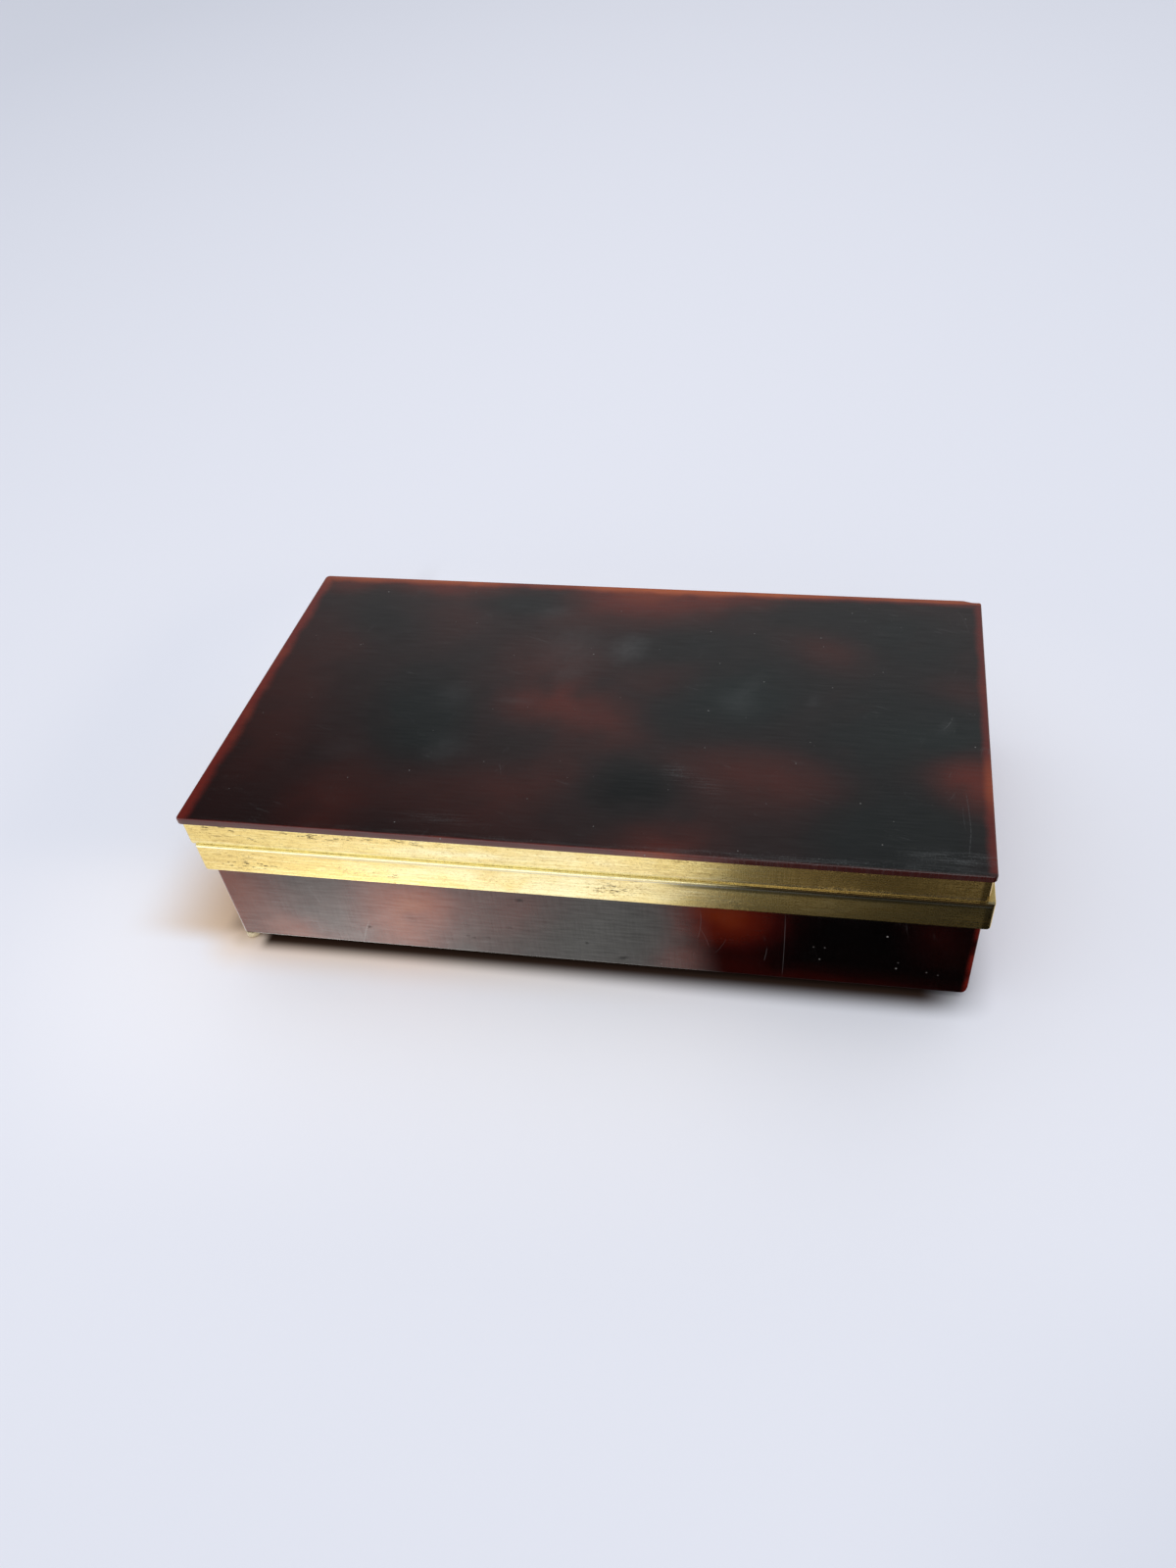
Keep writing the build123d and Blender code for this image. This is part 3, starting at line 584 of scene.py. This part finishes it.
lidWear = {
    # x, z, half length, half height, turn, strength on the front bar
    "pitted": [(-52, 43.4, 20, 1.6, 0, 1.0), (30, 44.2, 8, 1.2, 0, 0.9), (-78, 39, 12, 1.4, 0, 0.4),
               (8, 41, 26, 3, 0, 0.35), (78, 44.4, 22, 0.7, 0, 0.8), (70, 38.6, 30, 0.9, 0, 0.6)],
    "dashed": [(-91, 43.7, 7, 1.1, 0, 1.0), (-66, 43.2, 11, 1.2, 0, 0.9), (-42, 43.4, 14, 1.2, 0, 0.8),
               (-84, 40.4, 9, 1.6, 0, 0.6)],
    "pale": [(-31, 40.9, 19, 1.3, 0, 0.6), (-46, 41, 26, 6, 0, 0.25), (-2, 41, 30, 6, 0, 0.5)],
    "upright": [(50, 41, 13, 6, 0, 1.0), (86, 41, 14, 6, 0, 0.35)],
    # the height where lid and body meet, that of the arris's painted highlight, whether the painted light
    # and shade by that line is there, and how much there is of each wear and of the painted highlight at
    # the lid bar's foot
    "seam": lidFrameLow[2], "tarnish": 0.18, "arrisHigh": 0.02, "meetingLight": 0.0, "bronzed": 0.85, "foot": 0.45,
}
bodyWear = {
    "pitted": [(-57, 33.6, 9, 3, 0, 0.7), (11, 33.5, 8, 3.4, 0, 1.0), (-14, 33, 17, 3, 0, 0.5),
               (40, 33, 14, 4, 0, 0.6), (37, 29.7, 12, 0.5, 0, 0.8)],
    "dashed": [(-86, 32.0, 10, 1.5, 0, 1.0), (-84, 35.2, 9, 1.2, 0, 0.7), (10, 33.2, 6, 2.4, 0, 0.9),
               (-48, 31.8, 10, 0.9, 6, 0.6)],
    "pale": [(-4, 33, 36, 6, 0, 0.95), (-46, 34.5, 20, 3, 0, 0.45)],
    "upright": [(44, 33, 15, 6, 0, 0.9), (82, 33, 16, 6, 0, 0.35)],
    "seam": bodyFrameHigh[2], "tarnish": 0.0, "arrisHigh": 0.36, "meetingLight": 1.0, "bronzed": 0.45, "foot": 0.0,
}


def hingeBrass(name):
    look = {
        "gold": (0.720, 0.520, 0.220), "dull": (0.400, 0.280, 0.115), "darkBrown": (0.050, 0.035, 0.020),
        "dirtShows": 0.6, "roughness": 0.30, "bumpDepth": 0.02,
    }
    finish = Finish(name)
    point = finish.point()
    brushed = finish.noise(finish.stretched(point, (0.08, 1.0, 1.0)), 4.0, 4.0, 0.6)
    cloud = finish.noise(point, 0.30, 4.0, 0.6)
    dirty = finish.noise(point, 1.6, 3.0).rise(0.60, 0.72)
    colour = finish.mixed(cloud.rise(0.35, 0.7), look["gold"], look["dull"])
    colour = finish.mixed(dirty * look["dirtShows"], colour, look["darkBrown"])
    rough = look["roughness"] + (brushed - 0.5) * 0.25 + cloud * 0.12
    return finish.surface({"Base Color": colour, "Metallic": 1.0, "Roughness": rough.held(),
                           "Normal": finish.bump(brushed, look["bumpDepth"])})


def bumperRubber():
    look = {"pale": (0.70, 0.61, 0.40), "soiled": (0.45, 0.37, 0.22), "roughness": 0.35, "ior": 1.45,
            "bumpDepth": 0.03}
    finish = Finish("bumper_rubber")
    point = finish.point()
    cloud = finish.noise(point, 0.9, 4.0, 0.6)
    colour = finish.mixed(cloud.rise(0.3, 0.75), look["pale"], look["soiled"])
    rough = look["roughness"] + cloud * 0.25
    pimples = finish.noise(point, 3.0, 3.0)
    return finish.surface({"Base Color": colour, "Roughness": rough.held(), "IOR": look["ior"],
                           "Normal": finish.bump(pimples, look["bumpDepth"])})


def give(material, names):
    for name in names:
        materials = nodes[name].data.materials
        materials.clear()
        materials.append(material)


give(lidAcrylic(), ["lid_plate"])
for sheetName, (face, sheet) in sheets.items():
    give(bodyAcrylic("tortoiseshell_" + sheetName, face, sheet), [sheetName])
give(frameBrass("lid_brass", lidFrameLow, lidFrameHigh, lidWear), around("lid_frame"))
give(frameBrass("body_brass", bodyFrameLow, bodyFrameHigh, bodyWear), around("body_frame"))
give(hingeBrass("hinge_brass"), ["hinge_leaf_lid", "hinge_leaf_body", "hinge_pin"])
give(bumperRubber(), ["foot_front_left", "foot_front_right", "foot_back_left", "foot_back_right"])
print("finishes on the CAD nodes")


def studio():
    # a pale table under soft light; what the polished faces mirror is set apart from what lights them
    look = {
        # painted shade: the table's colour near the box and darker far from it, the fade between them, and
        # the darker corner at the front right
        "tableHalf": 3.0, "tableColour": (0.804, 0.828, 0.903), "farColour": (0.680, 0.712, 0.792),
        "fadeMiddle": (-80, -120), "fadeReach": 3.0,
        "fadeSide": 250.0, "fadeBack": 900.0, "fadeFront": 80.0,
        "cornerAlong": (60.0, 240.0), "cornerDeep": (-110.0, -210.0), "cornerShade": 5.0,
        # painted light: paler round the walls, most of all at the left, and painted warm light close to
        # them
        "leftAlong": (60.0, -80.0), "rightAlong": (20.0, 80.0),
        "liftColour": (0.935, 0.945, 1.0), "liftReach": (95.0, 4.0), "lift": 0.80, "liftLeft": 0.20,
        "liftRight": 0.50, "warmLight": (0.99, 0.83, 0.66), "warmLightReach": (15.0, 0.0),
        # amber light and shade thrown on the table beside the left wall
        "leftOfAlong": (-94.0, -99.0), "leftOfDeep": (150.0, 50.0),
        "leftTint": (0.91, 0.93, 0.955), "leftTintAlong": (-230.0, -135.0), "leftTintDeep": (-45.0, -15.0),
        "besideTint": (0.80, 0.61, 0.42), "besideAlong": (-138.0, -104.0), "besideDeep": (-60.0, -51.0),
        "besideFade": (15.0, -42.0), "besideLeast": 0.25,
        # contact shadow: narrower at the left, weaker at the right end and at the front left corner
        "contactColour": (0.030, 0.016, 0.010), "contactReach": (8.0, -0.3),
        "contactScale": 0.95, "contactLeft": 0.55,
        "contactRightEnd": (88.0, 103.0), "contactRightLoss": 0.75,
        "contactLeftEnd": (-90.5, -94.0), "contactFrontEnd": (-50.0, -53.5), "contactLeftLoss": 0.8,
        "besideShade": 0.40, "besideShadeAlong": (-107.0, -101.0), "besideShadeDeep": (-55.5, -50.0),
        # What the front mirrors, by place on the table before it, as strengths of the reflection. The wall
        # mirrors the nearest strip, the body's brass the next, then the lid's brass and the lid's edge.
        "mirrorDeep": (-40.0, -56.0), "wallDeep": (-88.0, -80.0), "lidDeep": (-91.6, -93.6),
        "edgeDeep": (-101.4, -103.4), "mirrorTint": (1.0, 0.975, 0.940), "elsewhere": 0.8,
        # the lit part, at the left: on the wall it has a broad hump and a small rise in the middle
        "wallLevel": 1.12, "humpLevel": 2.15, "humpX": -66, "humpHalf": 62, "humpNearDeep": (-80.0, -60.0),
        "humpNear": 0.42, "humpFar": 0.66, "middleRise": 0.38, "middleX": -3.0, "middleHalf": 27.0,
        "brassLevel": 1.165, "lidLevel": 0.08, "lidAlong": (-60.0, 0.0),
        "rimLoss": 0.7, "rimLossDeep": (-107.5, -105.5), "rimLossAlong": (-10.0, 30.0),
        # the dark part, at the right, and the x where it begins: it slants on the wall and the body's brass
        "wallDark": 0.010, "brassDark": 0.056, "brassDarkMiddle": 0.11, "brassMiddleAlong": (84.0, 50.0),
        "brassEndAlong": (80.0, 107.0), "bodyDarkEnd": -0.060, "lidDarkEnd": 0.20, "lidDark": 0.036,
        "edgeLoss": 0.7, "darkFrom": 26.0, "darkSoft": 8.5, "lidFrom": 5, "bodySoft": 5,
        "bodySlant": 0.3, "bodyFrom": -20.2, "wallSlant": 0.33, "wallSlantFrom": -63, "wallFrom": 2,
        # the room: what it lights with, and what is mirrored of it behind the box and before it
        "worldLight": 0.78, "worldTint": (1.0, 1.0, 1.03), "glossTint": (0.93, 0.965, 0.985),
        "backDull": 0.085, "backBright": 0.50, "backEdge": (1.13, 0.80),
        "backHigh": (0.62, 0.70), "backLoss": 0.25,
        "frontGlow": 1.52, "frontDull": 0.085, "windowEdge": (-0.04, -0.22), "frontEdge": (0.35, 0.10),
        "keyPlace": (0.6, -0.7, 2.5), "keySize": 2.4, "keyPower": 19.4,
    }
    half = look["tableHalf"]
    mesh = bpy.data.meshes.new("table_top")
    mesh.from_pydata([(-half, -half, 0), (half, -half, 0), (half, half, 0), (-half, half, 0)],
                     [], [(0, 1, 2, 3)])
    table = bpy.data.objects.new("table_top", mesh)
    bpy.context.scene.collection.objects.link(table)
    finish = Finish("table")
    x, y = finish.split(finish.point())[:2]
    middleX, middleY = look["fadeMiddle"]
    awayX = (x - middleX) / look["fadeSide"]
    awayY = ((y - middleY) / look["fadeBack"]).most((middleY - y) / look["fadeFront"])
    # painted shade: darker away from the box and towards the front right corner
    corner = x.rise(*look["cornerAlong"]) * y.rise(*look["cornerDeep"]) * look["cornerShade"]
    away = (awayX * awayX + awayY * awayY) ** 0.5 + corner
    colour = finish.mixed(away / look["fadeReach"], look["tableColour"], look["farColour"])
    outX = (wallsLow[0] - x).most(x - wallsHigh[0]).most(0.0)
    outY = (wallsLow[1] - y).most(y - wallsHigh[1]).most(0.0)
    outside = (outX * outX + outY * outY) ** 0.5      # from the foot of the walls
    toLeft = x.rise(*look["leftAlong"])
    # painted light round the walls, and painted warm light close to them
    lift = look["lift"] + toLeft * look["liftLeft"] - x.rise(*look["rightAlong"]) * look["liftRight"]
    colour = finish.mixed(outside.rise(*look["liftReach"]) * lift, colour, look["liftColour"])
    tint = finish.mixed(outside.rise(*look["warmLightReach"]) * toLeft, (1.0, 1.0, 1.0), look["warmLight"])
    leftOf = x.rise(*look["leftOfAlong"]) * y.rise(*look["leftOfDeep"])
    tint = finish.mixed(leftOf * x.rise(*look["leftTintAlong"]) * y.rise(*look["leftTintDeep"]),
                        tint, look["leftTint"])
    besideFade = y.rise(*look["besideFade"]) * (1 - look["besideLeast"]) + look["besideLeast"]
    beside = x.rise(*look["besideAlong"]) * y.rise(*look["besideDeep"]) * besideFade
    tint = finish.mixed(leftOf * beside, tint, look["besideTint"])
    colour = finish.node("ShaderNodeVectorMath", {"operation": "MULTIPLY"}, {0: colour, 1: tint})
    shade = (outside * (toLeft * look["contactLeft"] + look["contactScale"])).rise(*look["contactReach"])
    shade = shade * (1 - x.rise(*look["contactRightEnd"]) * look["contactRightLoss"])
    leftCorner = x.rise(*look["contactLeftEnd"]) * y.rise(*look["contactFrontEnd"])
    shade = shade * (1 - leftCorner * look["contactLeftLoss"])
    besideShade = leftOf * x.rise(*look["besideShadeAlong"]) * y.rise(*look["besideShadeDeep"])
    colour = finish.mixed(shade.most(besideShade * look["besideShade"]), colour, look["contactColour"])
    diffuse = finish.node("ShaderNodeBsdfDiffuse", {}, {"Color": colour})

    forWall = y.rise(*look["wallDeep"])
    forLid = y.rise(*look["lidDeep"])
    forEdge = y.rise(*look["edgeDeep"])
    forBody = (1 - forWall) * (1 - forLid)
    hump = 1 - abs(x - look["humpX"]).rise(0.0, look["humpHalf"])
    hump = hump * (y.rise(*look["humpNearDeep"]) * look["humpNear"] + look["humpFar"]) * look["humpLevel"]
    middle = abs(x - look["middleX"]).rise(look["middleHalf"], 0.0) * look["middleRise"]
    lit = forWall * (hump + middle + look["wallLevel"]) + (1 - forWall) * look["brassLevel"]
    lit = lit * (1 + forLid * x.rise(*look["lidAlong"]) * look["lidLevel"])
    rimLoss = forEdge * y.rise(*look["rimLossDeep"]) * x.rise(*look["rimLossAlong"]) * look["rimLoss"]
    lit = lit * (1 - rimLoss)
    dark = (x.rise(*look["brassMiddleAlong"]) * look["brassDarkMiddle"]
            + x.rise(*look["brassEndAlong"]) * (forLid * look["lidDarkEnd"] + look["bodyDarkEnd"])
            + forLid * look["lidDark"] + look["brassDark"])
    dark = dark * (1 - forEdge * look["edgeLoss"])
    dark = forWall * look["wallDark"] + (1 - forWall) * dark
    wallEdge = (y - look["wallSlantFrom"]) * look["wallSlant"] + look["wallFrom"]
    edge = look["darkFrom"] - forBody * (look["bodyFrom"] - y * look["bodySlant"]) + forWall * wallEdge
    edge = edge + forLid * look["lidFrom"]
    soft = forBody * look["bodySoft"] + look["darkSoft"]
    bright = ((edge - x) / soft).rise(-1.0, 1.0)
    before = y.rise(*look["mirrorDeep"])
    level = before * (bright * lit + (1 - bright) * dark) + (1 - before) * look["elsewhere"]
    mirrored = finish.node("ShaderNodeEmission", {},
                           {"Color": (*look["mirrorTint"], 1.0), "Strength": level})
    glossy = finish.node("ShaderNodeLightPath", out="Is Glossy Ray")
    shader = finish.node("ShaderNodeMixShader", {}, {0: glossy, 1: diffuse, 2: mirrored})
    finish.node("ShaderNodeOutputMaterial", {}, {0: shader})
    mesh.materials.append(finish.material)

    world = bpy.data.worlds.new("soft_room")
    bpy.context.scene.world = world
    world.use_nodes = True
    sky = Finish("", world.node_tree)
    sideways, forwards, upwards = sky.split(sky.node("ShaderNodeTexCoord", out="Generated"))
    # behind the box the room is dull to the left; before it there is a bright window to the left
    behind = (upwards - sideways).rise(*look["backEdge"]) * (look["backBright"] - look["backDull"])
    behind = (behind + look["backDull"]) * (1 - upwards.rise(*look["backHigh"]) * look["backLoss"])
    before = sideways.rise(*look["windowEdge"]) * (look["frontGlow"] - look["frontDull"])
    before = before + look["frontDull"]
    inFront = forwards.rise(*look["frontEdge"])
    gloss = inFront * before + (1 - inFront) * behind
    camera = sky.node("ShaderNodeLightPath", out="Is Camera Ray")
    glossRay = sky.node("ShaderNodeLightPath", out="Is Glossy Ray")
    level = glossRay * gloss + (1 - glossRay) * look["worldLight"]
    level = camera + (1 - camera) * level
    tint = sky.mixed(glossRay, look["worldTint"], look["glossTint"])
    tint = sky.mixed(camera, tint, look["farColour"])
    background = sky.node("ShaderNodeBackground", {}, {"Color": tint, "Strength": level})
    sky.node("ShaderNodeOutputWorld", {}, {0: background})

    lamp = bpy.data.lights.new("window_light", "AREA")
    lamp.shape = "DISK"
    lamp.size = look["keySize"]
    lamp.energy = look["keyPower"]
    key = bpy.data.objects.new("window_light", lamp)
    bpy.context.scene.collection.objects.link(key)
    key.location = look["keyPlace"]
    aim = -np.array(look["keyPlace"])      # at the origin, under the middle of the box
    key.rotation_euler = (math.atan2(math.hypot(aim[0], aim[1]), -aim[2]), 0,
                          math.atan2(aim[1], aim[0]) - math.pi / 2)


def camera():
    # the photograph's viewpoint, from the corners and edges of the box; turn in degrees, axis in pixels
    look = {
        "place": (0.06122, -0.25142, 0.24244), "turn": (43.158, 2.884, 8.670),
        "lens": 26.867, "sensor": 36.0, "clip": (0.01, 20.0),
        "imageSize": (1200, 1600), "opticalAxis": (669.3, 916.2),
    }
    data = bpy.data.cameras.new("camera")
    data.sensor_width = look["sensor"]
    data.lens = look["lens"]
    data.clip_start, data.clip_end = look["clip"]
    width, height = look["imageSize"]
    data.shift_x = (width / 2 - look["opticalAxis"][0]) / height
    data.shift_y = (look["opticalAxis"][1] - height / 2) / height
    made = bpy.data.objects.new("camera", data)
    made.location = look["place"]
    made.rotation_euler = [math.radians(angle) for angle in look["turn"]]
    bpy.context.scene.collection.objects.link(made)
    bpy.context.scene.camera = made


studio()
camera()
bpy.context.scene.view_settings.view_transform = "Standard"
print("studio and camera set")
